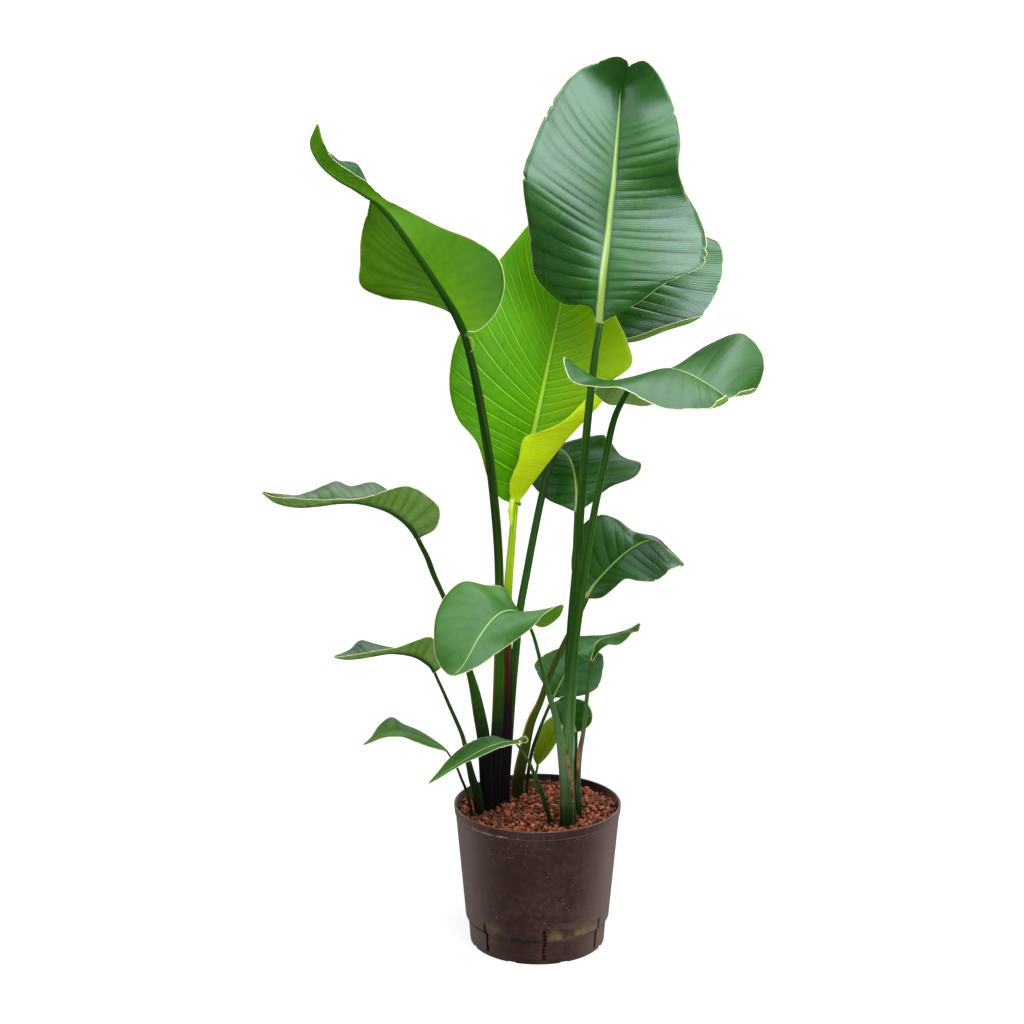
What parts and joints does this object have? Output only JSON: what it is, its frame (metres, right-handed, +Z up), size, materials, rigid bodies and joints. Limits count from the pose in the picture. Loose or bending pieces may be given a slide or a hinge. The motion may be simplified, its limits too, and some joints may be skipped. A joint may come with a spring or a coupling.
{
  "type": "potted bird of paradise",
  "caption": "Bird of paradise house plant: broad pleated paddle leaves on tall channelled stalks, rising in clumps from clay granulate in a plain round brown culture pot.",
  "frame": {"origin": "centre of the pot's flat underside, on the surface it stands on", "axes": "+Z up along the pot's axis; -Y is the side the picture was taken from, +X is to its right"},
  "size_m": [0.6074, 0.3934, 1.151],
  "materials": {
    "pot": "satin brown plastic, scuffed, with a little dried clay at the foot",
    "granulate": "matt fired clay pellets, reddish brown",
    "rootstock": "matt pale brown bark",
    "stalk": "waxy deep green",
    "young_stalk": "waxy lime green, brown at the sheath",
    "blade": "waxy deep green with a pale midrib and a thin pale margin",
    "young_blade": "waxy lime green with a yellow-green midrib and margin"
  },
  "bodies": {
    "root": {"pot": "pot", "granulate": "granulate", "left_rootstock": "rootstock", "right_rootstock": "rootstock", "left_leaf_1_stalk": "stalk", "left_leaf_1_blade": "blade", "left_leaf_2_stalk": "young_stalk", "left_leaf_2_blade": "young_blade", "left_leaf_3_stalk": "stalk", "left_leaf_3_blade": "blade", "left_leaf_4_stalk": "stalk", "left_leaf_4_blade": "blade", "left_leaf_5_stalk": "stalk", "left_leaf_5_blade": "blade", "left_leaf_6_stalk": "stalk", "left_leaf_6_blade": "blade", "left_leaf_7_stalk": "stalk", "left_leaf_7_blade": "blade", "left_leaf_8_stalk": "stalk", "left_leaf_8_blade": "blade", "left_leaf_9_stalk": "young_stalk", "left_leaf_9_blade": "young_blade", "right_leaf_1_stalk": "stalk", "right_leaf_1_blade": "blade", "right_leaf_2_stalk": "stalk", "right_leaf_2_blade": "blade", "right_leaf_3_stalk": "stalk", "right_leaf_3_blade": "blade", "right_leaf_4_stalk": "stalk", "right_leaf_4_blade": "blade", "right_leaf_5_stalk": "stalk", "right_leaf_5_blade": "blade", "right_leaf_6_stalk": "stalk", "right_leaf_6_blade": "blade", "right_leaf_7_stalk": "stalk", "right_leaf_7_blade": "blade"}
  },
  "joints": []
}
